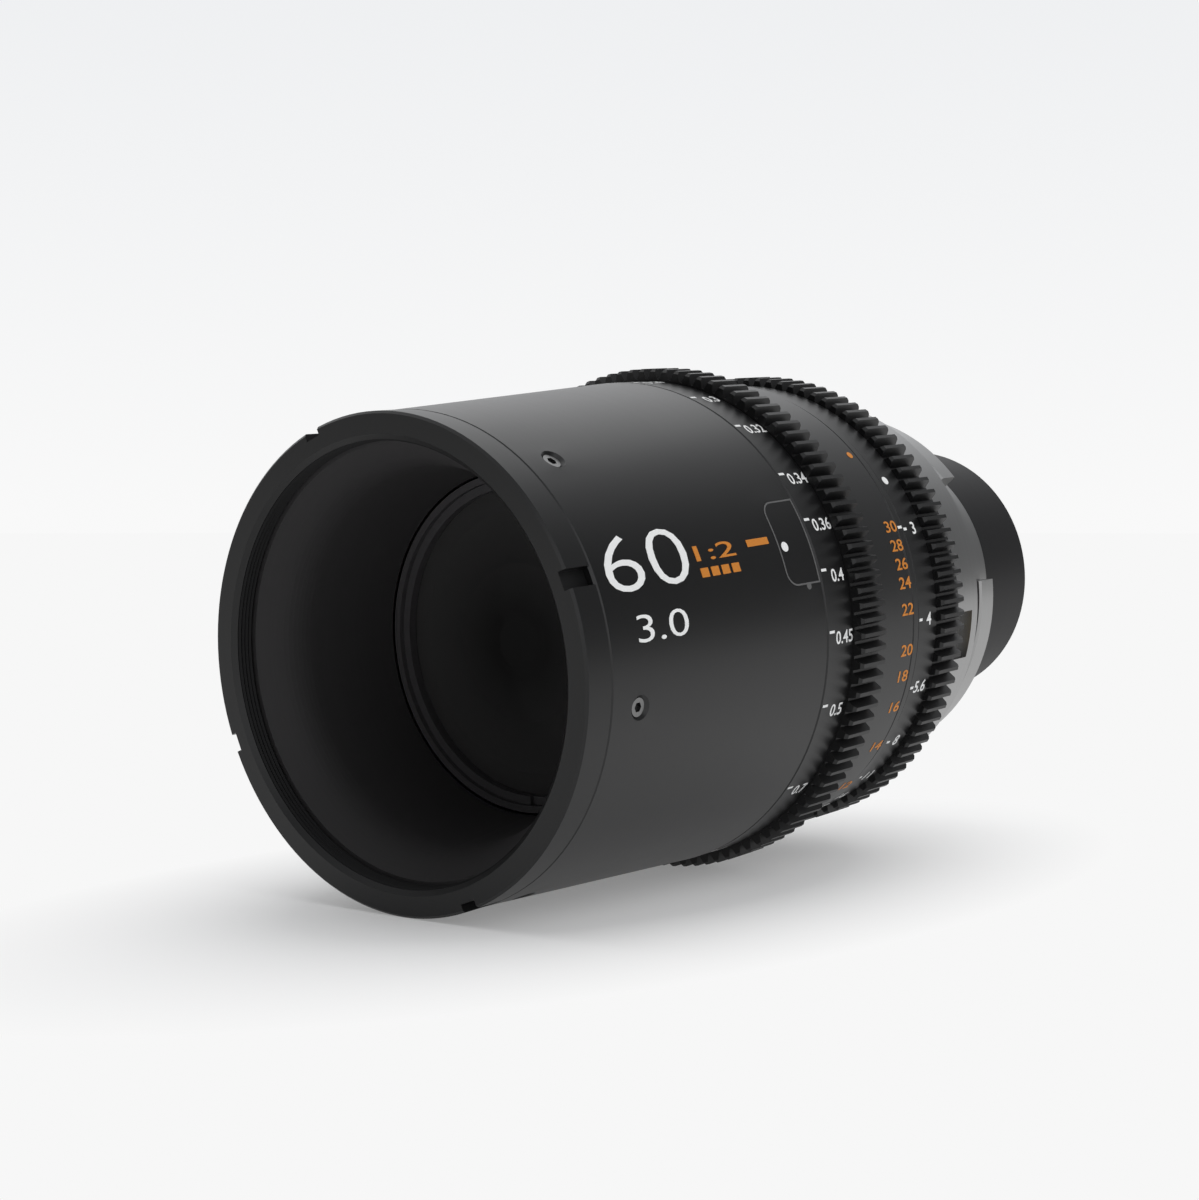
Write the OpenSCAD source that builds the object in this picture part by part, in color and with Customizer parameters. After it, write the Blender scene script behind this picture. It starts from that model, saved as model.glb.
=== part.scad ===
// Cinema prime lens lying on its side, front towards -Y.
// Origin on the optical axis at the seat of the camera mount, +Y towards the camera, millimetres.
// Inside the modules, z runs along the optical axis from the front face to the rear.

/* [Front] */
// Length of the front ring
front_ring_len = 5.65; // [5.2:0.05:8]
// Width of the front face, from the outside to the filter thread
front_rim_w = 4.4; // [3.6:0.1:5.2]
// Depth of the filter thread
filter_depth = 4; // [3:0.1:5]
// Length of the sleeve that holds the front ring in the barrel
front_sleeve_len = 9.4; // [8:0.1:12]
// Wall of that sleeve
sleeve_wall = 1.35; // [1:0.05:1.6]
// Width of the spanner notches
notch_w = 3; // [2:0.1:5]
// Depth of the spanner notches
notch_depth = 1.4; // [0.6:0.1:2]
// Depth of the hood inside the mouth
hood_depth = 31; // [27:0.5:34]
// Distance from the bend behind the hood's wide mouth to its flange
hood_bend_gap = 4.6; // [3.4:0.1:6]
// Share of the hood's narrowing that its wide mouth takes
hood_mouth_share = 0.66; // [0.4:0.02:0.8]
// Step from the main tube's bore to the rear end of the hood
hood_ledge = 2; // [1.4:0.1:3]
// Wall of the hood
hood_wall = 1; // [0.8:0.1:1.2]

/* [Barrel] */
// Length of the front barrel
barrel_len = 53.8; // [50:0.2:60]
// Growth of the barrel's radius from its front to its rear edge
barrel_taper = 2.6; // [1.5:0.1:3]
// Diameter of the set screws
set_screw_d = 3; // [2:0.1:4]
// Distance of the set screws from the front edge of the barrel
set_screw_set_back = 6.6; // [4:0.1:7]
// Width of the index plate around the barrel
plate_w = 14.8; // [10:0.2:18]
// Length of the index plate
plate_len = 8.6; // [6:0.1:11]
// Thickness of the index plate
plate_t = 0.8; // [0.5:0.1:1.2]
// Corner radius of the index plate
plate_corner_r = 2.6; // [1:0.1:2.8]
// Angle of the index line round the axis, from +Z towards +X
index_angle = 70; // [0:1:359]

/* [Focus] */
// Module of both drive gears
gear_module = 0.8; // [0.7:0.05:1]
// Width of the focus gear
focus_gear_w = 7.6; // [5:0.1:9]
// Least wall under the focus gear's teeth
gear_wall = 1.4; // [1:0.1:2]
// Length of the focus ring in front of its gear
focus_front_len = 7.6; // [6:0.1:10]
// Length of the focus ring behind its gear
focus_rear_len = 13.8; // [12:0.1:18]
// Step from the front of the focus ring down to the seat of its gear
focus_step = 1.05; // [0.6:0.05:1.6]
// Wall of the focus ring over its bearings
focus_wall = 2.25; // [1.8:0.05:3]
// Wall of the bearing spigots inside the focus ring
spigot_wall = 1.95; // [1.6:0.05:2.6]
// Wall of the helicoid nut
nut_wall = 3.5; // [2.5:0.1:5]
// Length of the helicoid nut
nut_len = 12; // [9:0.5:13]
// Diameter of the drive pins
drive_pin_d = 5; // [3:0.1:6]
// Travel of the lens carriage from far to near focus
focus_travel = 18; // [12:0.5:19]
// Part of that travel between far focus and the place where the carriage stands
focus_rest = 8; // [2:0.5:10]
// Diameter of the main tube
main_tube_d = 66; // [62:0.1:70]
// Wall of the main tube
main_tube_wall = 2; // [1.5:0.1:2.2]

/* [Iris] */
// Length of the fixed ring between the focus and iris rings
index_ring_len = 2; // [1.6:0.1:4]
// Length of the iris ring in front of its gear
iris_front_len = 6.2; // [5:0.1:9]
// Width of the iris gear
iris_gear_w = 7.8; // [7:0.1:10]
// Least wall under the iris gear's teeth
iris_gear_wall = 1; // [0.8:0.1:1.5]
// Step from the front of the iris ring down to the seat of its gear
iris_step = 1.35; // [0.8:0.05:1.8]
// Wall of the iris ring over its bearings
iris_wall = 1.65; // [1.4:0.05:2.4]
// Wall of the bearing spigots inside the iris ring
iris_spigot_wall = 2.35; // [1.6:0.05:2.6]
// Room between the main tube and those spigots
iris_room = 2.5; // [1.5:0.1:3.5]
// Turn of the iris ring from open to closed, degrees
iris_turn = 84; // [60:1:90]
// Diameter of the iris opening
iris_opening_d = 35.6; // [30:0.2:38]
// Thickness of one iris blade
blade_t = 0.2; // [0.1:0.05:0.25]
// Step from one iris blade to the next
blade_step = 0.45; // [0.4:0.05:0.6]

/* [Camera mount] */
// Height of the rear barrel's edge over the iris ring's bearing
rear_lip = 1; // [0.6:0.1:2]
// Length of the rear barrel
rear_barrel_len = 4; // [3.5:0.1:8]
// Thickness of the mount shim
shim_t = 0.5; // [0.2:0.1:1]
// Wall of the mount's base round the main tube
mount_base_wall = 4.35; // [4.2:0.05:5.5]
// Length of the base of the mount
mount_base_len = 8.8; // [8:0.1:12]
// Wall of the neck between the base and the wings
neck_wall = 1.4; // [1:0.1:2.4]
// Length of the neck
neck_len = 7; // [5:0.1:9]
// Reach of the wings beyond the neck
wing_reach = 3; // [2:0.1:4]
// Thickness of the wings
wing_t = 5; // [3:0.1:6]
// Angle that one wing covers, degrees
wing_span = 54; // [40:1:70]
// Diameter of the spigot that enters the camera
spigot_d = 54; // [50:0.05:58]
// Length of the spigot
spigot_len = 10; // [6:0.5:14]
// Wall of the spigot round the rear tube
mount_spigot_wall = 1.75; // [1.2:0.05:2.5]
// Reach of the rear tube behind the seat of the mount
rear_tube_reach = 29; // [26:0.5:32]

/* [Fits] */
// Gap between rings that turn past each other
seam = 0.3; // [0.2:0.05:0.5]
// Radial clearance of pieces that are screwed or glued together
fit = 0.05; // [0.03:0.01:0.08]
// Radial clearance of running fits
run = 0.05; // [0.03:0.01:0.08]
// Clearance between pieces that pass each other freely
free = 0.3; // [0.25:0.05:0.4]

/* [Hidden] */
$fn = 96;

// A hair that keeps cutting faces apart
eps = 0.01;
// Bevels on open edges, on the edges between rings and on the ends of gear teeth
edge = 0.4;
ring_edge = 0.3;
gear_edge = 0.5;

// Places along the axis, from the front face
z_front_ring = front_ring_len;
z_barrel = z_front_ring + fit;
z_barrel_end = z_barrel + barrel_len;
z_focus = z_barrel_end + seam;
z_focus_gear = z_focus + focus_front_len;
z_focus_gear_end = z_focus_gear + focus_gear_w;
z_focus_end = z_focus_gear_end + focus_rear_len;
z_index = z_focus_end + seam;
z_index_end = z_index + index_ring_len;
z_iris = z_index_end + seam;
z_iris_gear = z_iris + iris_front_len;
z_iris_end = z_iris_gear + iris_gear_w;
z_rear = z_iris_end + seam;
z_rear_end = z_rear + rear_barrel_len;
z_mount = z_rear_end + shim_t;
z_neck = z_mount + mount_base_len;
z_wing = z_neck + neck_len;
z_seat = z_wing + wing_t;
z_spigot_end = z_seat + spigot_len;
z_rim = z_seat + rear_tube_reach;

// Main tube, helicoid and focus ring, from the inside out
main_r = main_tube_d / 2;
main_in_r = main_r - main_tube_wall;
nut_in_r = main_r + free;
nut_r = nut_in_r + nut_wall;
helicoid_r = nut_r + free;
chamber_step = 0.2;
chamber_r = helicoid_r + chamber_step;
focus_spigot_r = chamber_r + spigot_wall;
focus_land_r = focus_spigot_r + run;
focus_seat_r = focus_land_r + focus_wall;
land_len = 4.2;

// Gears: tooth heights above and below the pitch circle, in modules
tooth_head = 1;
tooth_foot = 1.25;
pressure_slope = tan(20);
focus_teeth = round(2 * (focus_seat_r + fit + gear_wall) / gear_module + 2 * tooth_foot);
focus_pitch_r = gear_module * focus_teeth / 2;

// Front barrel, front ring and hood, from the focus ring forwards
barrel_rear_r = focus_seat_r + focus_step;
front_r = barrel_rear_r - barrel_taper;
barrel_slope = barrel_taper / barrel_len;
filter_r = front_r - front_rim_w;
filter_relief = 0.6;
sleeve_in_r = filter_r + filter_relief;
sleeve_r = sleeve_in_r + sleeve_wall;
z_sleeve_end = z_front_ring + front_sleeve_len;
barrel_bore_r = sleeve_r + fit;
barrel_ledge = 0.7;
barrel_cavity_r = barrel_bore_r - barrel_ledge;
notch_count = 4;
hood_rim = 0.7;
hood_set_back = 0.2;
hood_front_r = filter_r - hood_rim;
hood_rear_r = main_in_r - hood_ledge;
z_hood = filter_depth + hood_set_back;
hood_flange_t = 1.5;
z_hood_flange = z_sleeve_end + fit;
z_hood_seat = z_hood_flange + hood_flange_t + fit;
z_hood_mouth = z_hood_flange - hood_bend_gap;
hood_mouth_r = hood_front_r - hood_mouth_share * (hood_front_r - hood_rear_r);
hood_mouth_slope = (hood_front_r - hood_mouth_r) / (z_hood_mouth - z_hood);
hood_slope = (hood_mouth_r - hood_rear_r) / (hood_depth - z_hood_mouth);
hood_bend = 3;
hood_bend_steps = 8;
hood_bend_start = [hood_mouth_r + hood_mouth_slope * hood_bend, z_hood_mouth - hood_bend];
hood_bend_knee = [hood_mouth_r, z_hood_mouth];
hood_bend_end = [hood_mouth_r - hood_slope * hood_bend, z_hood_mouth + hood_bend];
web_t = 4;
web_gap = 11;
z_web = hood_depth + web_gap;
screw_count = 6;
screw_r = set_screw_d / 2;
screw_hole_r = screw_r + fit;
screw_sink = 0.5;
z_screw = z_barrel + set_screw_set_back;
socket_share = 0.55;

// Focus drive along the axis
focus_ahead = focus_travel - focus_rest;
far_gap = 1.1;
z_nut_end = z_index - far_gap - focus_rest;
z_nut = z_nut_end - nut_len;
z_pin = z_nut + nut_len / 2;
pin_r = drive_pin_d / 2;
pin_count = 3;
pin_angle = 60;
pin_root = 3;
pin_in_r = main_in_r - pin_root;
z_main = hood_depth + seam;
main_seat_len = 5.5;
z_main_end = z_mount + main_seat_len;

// Lens carriage and its glass
carriage_land_r = main_in_r - run;
carriage_land_len = 8;
land_margin = 0.7;
z_land = z_main + focus_ahead + land_margin;
cell_room = 0.35;
cell_gap = 0.2;
cell_wall = 1.2;
glass_ledge = 3;
cell_r = hood_rear_r - cell_room;
z_cell = hood_depth + cell_gap;
front_glass_r = cell_r - cell_wall;
front_glass_seat_r = front_glass_r - glass_ledge;
front_glass_edge = 3;
front_glass_curve = 5 * front_glass_r;
front_glass_set_back = 0.1;
z_front_glass = z_cell + front_glass_set_back;
z_front_glass_seat = z_front_glass + front_glass_edge + sag(front_glass_curve, front_glass_r);
second_step = 4;
second_ledge = 1.5;
second_gap = 6;
second_depth = 12;
second_glass_r = front_glass_r - second_step;
second_seat_r = second_glass_r - second_ledge;
second_glass_edge = 4;
second_glass_curve = 3 * second_glass_r;
z_second_bore = z_front_glass_seat + second_gap;
z_second_seat = z_second_bore + second_depth;
ring_t = 1.6;
ring_w = 2.4;
front_retainer_w = 1.4;

// Iris
opening_r = iris_opening_d / 2;
blade_count = 8;
z_plate = z_nut_end;
plate_wall = 1.5;
z_blades = z_plate + plate_wall + free;
cover_gap = 0.45;
z_cover = z_blades + (blade_count - 1) * blade_step + blade_t + cover_gap;
blade_pin_r = 0.5;
ear_r = 1.6;
ear_room = 0.4;
ear_gap = 0.3;
housing_step = 0.55;
housing_wall = 1.2;
housing_r = carriage_land_r - housing_step;
housing_in_r = housing_r - housing_wall;
pivot_r = housing_in_r - ear_r - ear_room;
blade_out_r = pivot_r - ear_r - ear_gap;
blade_cover = 0.5;
blade_in_r = opening_r - blade_cover;
blade_sweep = 104;
blade_hole_r = blade_pin_r + 0.07;

// Rear cell behind the iris, and the actuator that turns on it
cover_t = 1.2;
z_cell_tube = z_cover + cover_t;
rear_cell_wall = 2.7;
rear_cell_r = opening_r + rear_cell_wall;
rear_cell_len = 13.2;
third_room = 0.2;
third_ledge = 1.6;
third_glass_r = opening_r + third_room - fit;
third_seat_r = third_glass_r - third_ledge;
third_seat_t = 1.2;
z_third_seat = z_cell_tube + third_seat_t;
third_glass_edge = 3;
third_glass_curve = 3 * third_glass_r;
actuator_t = 1.8;
z_actuator = z_cell_tube + free;
finger_room = 2.1;
finger_t = 2;
finger_w = 4;
finger_angle = 180;
finger_margin = 0.4;
finger_r = main_in_r - finger_room;
finger_in_r = finger_r - finger_t;
clip_t = 1;
clip_depth = 0.6;
z_clip = z_actuator + actuator_t + free;
fork_t = 2;
prong_w = 2;
fork_w = finger_w + 2 * (free + prong_w);
fork_overlap = 0.5;
fork_in_r = finger_in_r - fork_overlap;
z_fork = z_clip + clip_t + focus_rest + finger_margin;
finger_len = z_fork + fork_t + focus_ahead + finger_margin - z_actuator - actuator_t;

// Iris ring, from the main tube outwards
iris_spigot_in_r = main_r + iris_room;
iris_spigot_r = iris_spigot_in_r + iris_spigot_wall;
iris_land_r = iris_spigot_r + run;
iris_seat_r = iris_land_r + iris_wall;
iris_r = iris_seat_r + iris_step;
index_r = iris_r + edge;
iris_teeth = round(2 * (iris_seat_r + fit + iris_gear_wall) / gear_module + 2 * tooth_foot);
iris_pitch_r = gear_module * iris_teeth / 2;
iris_land_len = 4;
fork_root = 0.9;

// Rear of the body and camera mount
rear_r = iris_land_r + rear_lip;
base_r = main_r + fit + mount_base_wall;
recess_room = 0.7;
recess_r = finger_r + recess_room;
neck_r = recess_r + neck_wall;
wing_r = neck_r + wing_reach;
spigot_r = spigot_d / 2;
wing_count = 4;
mount_screw_count = 4;
mount_screw_r = 1.05;
mount_head_r = 1.9;
mount_head_t = 1.6;
mount_socket_depth = 1;
head_rim = 0.4;
mount_screw_circle = base_r - mount_head_r - head_rim;
mount_screw_bite = 3;
key_w = 9;
key_depth = 2.2;
key_len = 6.4;
key_angle = 32;
rear_bore_r = spigot_r - mount_spigot_wall;
rear_tube_r = rear_bore_r - fit;
rear_flange_r = (rear_bore_r + recess_r) / 2;
rear_flange_t = 1.2;
z_recess_end = z_actuator + actuator_t + finger_len + focus_rest + rear_flange_t + finger_margin;
rear_wall = 3.7;
rear_ledge = 2;
rear_glass_r = rear_tube_r - rear_wall;
rear_seat_r = rear_glass_r - rear_ledge;
rear_glass_edge = 3;
rear_glass_curve = 2.6 * rear_glass_r;
rear_depth = 10;
z_rear_seat = z_rim - rear_depth;

function barrel_r(z) = front_r + barrel_slope * (z - z_barrel);
function hood_r(z) = hood_mouth_r - hood_slope * (z - z_hood_mouth);
function hood_bend_at(u) = (1 - u) * (1 - u) * hood_bend_start + 2 * u * (1 - u) * hood_bend_knee
    + u * u * hood_bend_end;
function sag(curve, r) = curve - sqrt(curve * curve - r * r);

// Turns the building axis z into the optical axis, with the mount's seat at the origin
module on_axis() {
    translate([0, -z_seat, 0]) rotate([-90, 0, 0]) children();
}

// Turns children to an angle measured from the index line
module from_index(angle) {
    rotate([0, 0, index_angle - 90 + angle]) children();
}

// A turned solid from an outline of [radius, place along the axis], with its seam underneath
module turned(outline) {
    rotate([0, 0, 90]) rotate_extrude() polygon(outline);
}

module tube(r_out, r_in, z, len) {
    translate([0, 0, z]) rotate([0, 0, 90]) difference() {
        cylinder(r = r_out, h = len);
        translate([0, 0, -eps]) cylinder(r = r_in, h = len + 2 * eps);
    }
}

// A ring with two slots for a spanner
module slotted_ring(r_out, r_in, z, len) {
    slot_w = 1.4;
    slot_depth = len / 2;
    difference() {
        tube(r_out, r_in, z, len);
        translate([0, 0, z]) cube([slot_w, 3 * r_out, 2 * slot_depth], center = true);
    }
}

// A plano-convex lens with its flat side at the end of z
module convex_glass(r, edge_t, curve, z_flat) {
    height = edge_t + sag(curve, r);
    intersection() {
        translate([0, 0, z_flat - height]) cylinder(r = r, h = height);
        translate([0, 0, z_flat - height + curve]) sphere(r = curve);
    }
}

// Spur gear ring with straight-sided teeth, bevelled at both ends
module gear_ring(teeth, pitch_r, bore_r, z, width) {
    tip_r = pitch_r + tooth_head * gear_module;
    root_r = pitch_r - tooth_foot * gear_module;
    half = PI * gear_module / 4;
    tip_half = (half - tooth_head * gear_module * pressure_slope) / tip_r * 180 / PI;
    root_half = (half + tooth_foot * gear_module * pressure_slope) / root_r * 180 / PI;
    step = 360 / teeth;
    corners = [[root_r, -root_half], [tip_r, -tip_half], [tip_r, tip_half], [root_r, root_half]];
    outline = [for (i = [0 : teeth - 1]) for (c = corners)
        [c[0] * cos(i * step + c[1]), c[0] * sin(i * step + c[1])]];
    intersection() {
        translate([0, 0, z]) linear_extrude(width) polygon(outline);
        turned([[bore_r, z], [tip_r - gear_edge, z], [tip_r, z + gear_edge],
            [tip_r, z + width - gear_edge], [tip_r - gear_edge, z + width], [bore_r, z + width]]);
    }
}

// A bar along the radius, centred on the angle 0
module radial_bar(r_in, r_out, width, z, len) {
    translate([r_in, -width / 2, z]) cube([r_out - r_in, width, len]);
}

// A slice of a ring round the angle 0
module ring_slice(r_in, r_out, span, z, len) {
    rotate([0, 0, -span / 2]) rotate_extrude(angle = span)
        translate([r_in, z]) square([r_out - r_in, len]);
}

// The plate's window: a rounded front and a square rear, cut straight through along the radius
module plate_window(grow) {
    half_w = plate_w / 2 + grow;
    corner = plate_corner_r + grow;
    front = z_barrel_end - plate_len - grow;
    back = z_barrel_end + eps;
    from_index(0) rotate([0, 90, 0]) linear_extrude(2 * front_r) union() {
        translate([-back, -half_w]) square([back - front - corner, 2 * half_w]);
        translate([-back, -half_w + corner]) square([back - front, 2 * (half_w - corner)]);
        for (side = [-1, 1]) translate([-front - corner, side * (half_w - corner)]) circle(r = corner);
    }
}

// The band under the barrel's surface, between two depths, where the plate lies
module barrel_band(deep, shallow) {
    z_a = z_barrel_end - plate_len - 1;
    z_b = z_barrel_end;
    turned([[barrel_r(z_a) - deep, z_a], [barrel_r(z_a) - shallow, z_a],
        [barrel_r(z_b) - shallow, z_b], [barrel_r(z_b) - deep, z_b]]);
}

module front_ring() {
    mouth = 0.8;
    color("#1b1b1d") on_axis() difference() {
        turned([[filter_r + mouth, 0], [front_r - edge, 0], [front_r, edge], [front_r, z_front_ring],
            [sleeve_r, z_front_ring], [sleeve_r, z_sleeve_end], [sleeve_in_r, z_sleeve_end],
            [sleeve_in_r, filter_depth], [filter_r, filter_depth], [filter_r, mouth]]);
        for (i = [0 : notch_count - 1]) from_index(i * 360 / notch_count)
            radial_bar(front_r - notch_depth, front_r + 1, notch_w, -eps, front_ring_len + 2 * eps);
    }
}

module front_hood() {
    bend = [for (i = [0 : hood_bend_steps]) hood_bend_at(i / hood_bend_steps)];
    bend_back = [for (i = [0 : hood_bend_steps]) hood_bend_at(1 - i / hood_bend_steps)];
    color("#141415") on_axis() turned(concat(
        [[hood_front_r, z_hood], [hood_front_r + hood_wall, z_hood]],
        [for (p = bend) p + [hood_wall, 0]],
        [[hood_r(z_hood_flange) + hood_wall, z_hood_flange], [sleeve_r, z_hood_flange],
        [sleeve_r, z_hood_flange + hood_flange_t],
        [hood_r(z_hood_flange + hood_flange_t) + hood_wall, z_hood_flange + hood_flange_t],
        [hood_rear_r + hood_wall, hood_depth], [hood_rear_r, hood_depth]],
        bend_back));
}

module front_barrel() {
    color("#18181a") on_axis() difference() {
        turned([[barrel_bore_r, z_barrel], [front_r - edge, z_barrel],
            [barrel_r(z_barrel + edge), z_barrel + edge],
            [barrel_rear_r, z_barrel_end], [focus_spigot_r, z_barrel_end],
            [focus_spigot_r, z_barrel_end + land_len], [chamber_r, z_barrel_end + land_len],
            [chamber_r, z_web + web_t], [main_r + fit, z_web + web_t], [main_r + fit, z_web],
            [barrel_cavity_r, z_web], [barrel_cavity_r, z_hood_seat], [barrel_bore_r, z_hood_seat]]);
        for (i = [0 : screw_count - 1]) from_index((i + 0.5) * 360 / screw_count)
            translate([0, 0, z_screw]) rotate([0, 90, 0]) {
                cylinder(r = screw_hole_r, h = 2 * front_r);
                translate([0, 0, barrel_r(z_screw) - screw_sink])
                    cylinder(r1 = screw_hole_r, r2 = screw_hole_r + 2 * screw_sink, h = 2 * screw_sink);
            }
        intersection() {
            plate_window(fit);
            barrel_band(plate_t + fit, -1);
        }
    }
}

module index_plate() {
    color("#1d1d1f") on_axis() intersection() {
        plate_window(0);
        barrel_band(plate_t, 0);
    }
}

module set_screws() {
    below = 0.4;
    socket_depth = 1;
    screw_end = barrel_r(z_screw) - below;
    color("#2a2a2c") on_axis() for (i = [0 : screw_count - 1]) from_index((i + 0.5) * 360 / screw_count)
        translate([0, 0, z_screw]) rotate([0, 90, 0]) difference() {
            translate([0, 0, barrel_bore_r]) cylinder(r = screw_r, h = screw_end - barrel_bore_r);
            translate([0, 0, screw_end - socket_depth])
                cylinder(r = screw_r * socket_share, h = socket_depth + eps, $fn = 6);
        }
}

module main_tube() {
    slot_w = drive_pin_d + 2 * run;
    slot_margin = 0.5;
    fork_margin = 4;
    slot_start = z_pin - focus_ahead - pin_r - slot_margin;
    slot_end = z_pin + focus_rest + pin_r + slot_margin;
    fork_span = iris_turn + 2 * asin(fork_w / 2 / main_in_r) + fork_margin;
    color("#8d8f92") on_axis() difference() {
        tube(main_r, main_in_r, z_main, z_main_end - z_main);
        for (i = [0 : pin_count - 1]) from_index(pin_angle + i * 360 / pin_count)
            radial_bar(main_in_r - 1, main_r + 1, slot_w, slot_start, slot_end - slot_start);
        from_index(finger_angle - iris_turn / 2)
            ring_slice(main_in_r - 1, main_r + 1, fork_span, z_fork - free, fork_t + 2 * free);
    }
}

module index_ring() {
    color("#18181a") on_axis() turned([
        [main_r + fit, z_index], [chamber_r, z_index], [chamber_r, z_index - land_len],
        [focus_spigot_r, z_index - land_len], [focus_spigot_r, z_index],
        [index_r - ring_edge, z_index], [index_r, z_index + ring_edge],
        [index_r, z_index_end - ring_edge], [index_r - ring_edge, z_index_end],
        [iris_spigot_r, z_index_end],
        [iris_spigot_r, z_index_end + iris_land_len],
        [iris_spigot_in_r, z_index_end + iris_land_len],
        [iris_spigot_in_r, z_index_end], [main_r + fit, z_index_end]]);
}

module focus_ring() {
    color("#18181a") on_axis() turned([
        [focus_land_r, z_focus], [barrel_rear_r - ring_edge, z_focus],
        [barrel_rear_r, z_focus + ring_edge], [barrel_rear_r, z_focus_gear],
        [focus_seat_r, z_focus_gear], [focus_seat_r, z_focus_end - ring_edge],
        [focus_seat_r - ring_edge, z_focus_end], [focus_land_r, z_focus_end],
        [focus_land_r, z_focus_end - land_len], [helicoid_r, z_focus_end - land_len],
        [helicoid_r, z_focus + land_len], [focus_land_r, z_focus + land_len]]);
}

module focus_gear() {
    color("#1b1b1d") on_axis()
        gear_ring(focus_teeth, focus_pitch_r, focus_seat_r + fit, z_focus_gear, focus_gear_w);
}

module helicoid_nut() {
    color("#a8893f") on_axis() difference() {
        tube(nut_r, nut_in_r, z_nut, nut_len);
        for (i = [0 : pin_count - 1]) from_index(pin_angle + i * 360 / pin_count)
            translate([main_r, 0, z_pin]) rotate([0, 90, 0]) cylinder(r = pin_r + fit, h = nut_r);
    }
}

module drive_pins() {
    color("#b9bbbe") on_axis() for (i = [0 : pin_count - 1]) from_index(pin_angle + i * 360 / pin_count)
        translate([pin_in_r + fit, 0, z_pin]) rotate([0, 90, 0])
            cylinder(r = pin_r, h = nut_r - free - pin_in_r - fit);
}

module lens_carriage() {
    waist_r = cell_r;
    iris_wall_end = z_cover;
    color("#1c1c1e") on_axis() difference() {
        turned([[front_glass_r + fit, z_cell], [cell_r, z_cell], [cell_r, z_land], [carriage_land_r, z_land],
            [carriage_land_r, z_land + carriage_land_len], [waist_r, z_land + carriage_land_len],
            [waist_r, z_nut], [carriage_land_r, z_nut], [carriage_land_r, z_plate], [housing_r, z_plate],
            [housing_r, iris_wall_end], [housing_in_r, iris_wall_end], [housing_in_r, z_plate + plate_wall],
            [opening_r, z_plate + plate_wall], [opening_r, z_plate], [second_seat_r, z_plate],
            [second_seat_r, z_second_seat], [second_glass_r + fit, z_second_seat],
            [second_glass_r + fit, z_second_bore], [front_glass_seat_r, z_second_bore],
            [front_glass_seat_r, z_front_glass_seat], [front_glass_r + fit, z_front_glass_seat]]);
        for (i = [0 : pin_count - 1]) from_index(pin_angle + i * 360 / pin_count)
            translate([pin_in_r, 0, z_pin]) rotate([0, 90, 0]) cylinder(r = pin_r + fit, h = nut_r);
        blade_pivots() translate([0, 0, z_plate + plate_wall / 2])
            cylinder(r = blade_pin_r + fit, h = plate_wall, $fn = 24);
    }
}

module front_glass() {
    color("#3a4a6a", 0.5) on_axis()
        convex_glass(front_glass_r, front_glass_edge, front_glass_curve, z_front_glass_seat);
}

module front_retainer() {
    in_r = front_glass_r - front_retainer_w;
    z_touch = z_front_glass + sag(front_glass_curve, in_r) - fit;
    color("#161618") on_axis() slotted_ring(front_glass_r, in_r, z_touch - ring_t, ring_t);
}

module second_glass() {
    color("#4a3a6a", 0.5) on_axis()
        convex_glass(second_glass_r, second_glass_edge, second_glass_curve, z_second_seat);
}

module second_retainer() {
    in_r = second_glass_r - ring_w;
    z_glass = z_second_seat - second_glass_edge - sag(second_glass_curve, second_glass_r);
    z_touch = z_glass + sag(second_glass_curve, in_r) - fit;
    color("#161618") on_axis() slotted_ring(second_glass_r, in_r, z_touch - ring_t, ring_t);
}

// Copies children to each blade's pivot
module blade_pivots() {
    for (i = [0 : blade_count - 1]) rotate([0, 0, i * 360 / blade_count])
        translate([pivot_r, 0, 0]) children();
}

module iris_pins() {
    color("#c8cacd") on_axis() blade_pivots()
        translate([0, 0, z_plate + plate_wall / 2 + fit])
            cylinder(r = blade_pin_r, h = z_cover - z_plate - plate_wall / 2 - 2 * fit, $fn = 24);
}

// One crescent blade with its ear on the pivot, on its own layer of the stack
module iris_blade(i) {
    color("#2b2b2e") on_axis() rotate([0, 0, i * 360 / blade_count])
        translate([0, 0, z_blades + i * blade_step]) difference() {
            union() {
                rotate_extrude(angle = blade_sweep) translate([blade_in_r, 0])
                    square([blade_out_r - blade_in_r, blade_t]);
                translate([pivot_r, 0, 0]) cylinder(r = ear_r, h = blade_t);
                translate([blade_out_r - ear_r, 0, 0]) cube([pivot_r - blade_out_r + ear_r, ear_r, blade_t]);
            }
            translate([pivot_r, 0, -eps]) cylinder(r = blade_hole_r, h = blade_t + 2 * eps, $fn = 24);
        }
}

module rear_cell() {
    groove_z = z_clip;
    color("#1c1c1e") on_axis() turned([
        [opening_r, z_cover], [housing_r, z_cover], [housing_r, z_cell_tube], [rear_cell_r, z_cell_tube],
        [rear_cell_r, groove_z], [rear_cell_r - clip_depth, groove_z],
        [rear_cell_r - clip_depth, groove_z + clip_t + 2 * fit],
        [rear_cell_r, groove_z + clip_t + 2 * fit], [rear_cell_r, z_cell_tube + rear_cell_len],
        [third_glass_r + fit, z_cell_tube + rear_cell_len], [third_glass_r + fit, z_third_seat],
        [third_seat_r, z_third_seat], [third_seat_r, z_cell_tube], [opening_r, z_cell_tube - 0.4]]);
}

module third_glass() {
    color("#3a5a5a", 0.5) on_axis() translate([0, 0, 2 * z_third_seat]) mirror([0, 0, 1])
        convex_glass(third_glass_r, third_glass_edge, third_glass_curve, z_third_seat);
}

module third_retainer() {
    in_r = third_glass_r - ring_w;
    z_glass = z_third_seat + third_glass_edge + sag(third_glass_curve, third_glass_r);
    z_touch = z_glass - sag(third_glass_curve, in_r) + fit;
    color("#161618") on_axis() translate([0, 0, 2 * z_touch + ring_t]) mirror([0, 0, 1])
        slotted_ring(third_glass_r, in_r, z_touch, ring_t);
}

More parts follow.
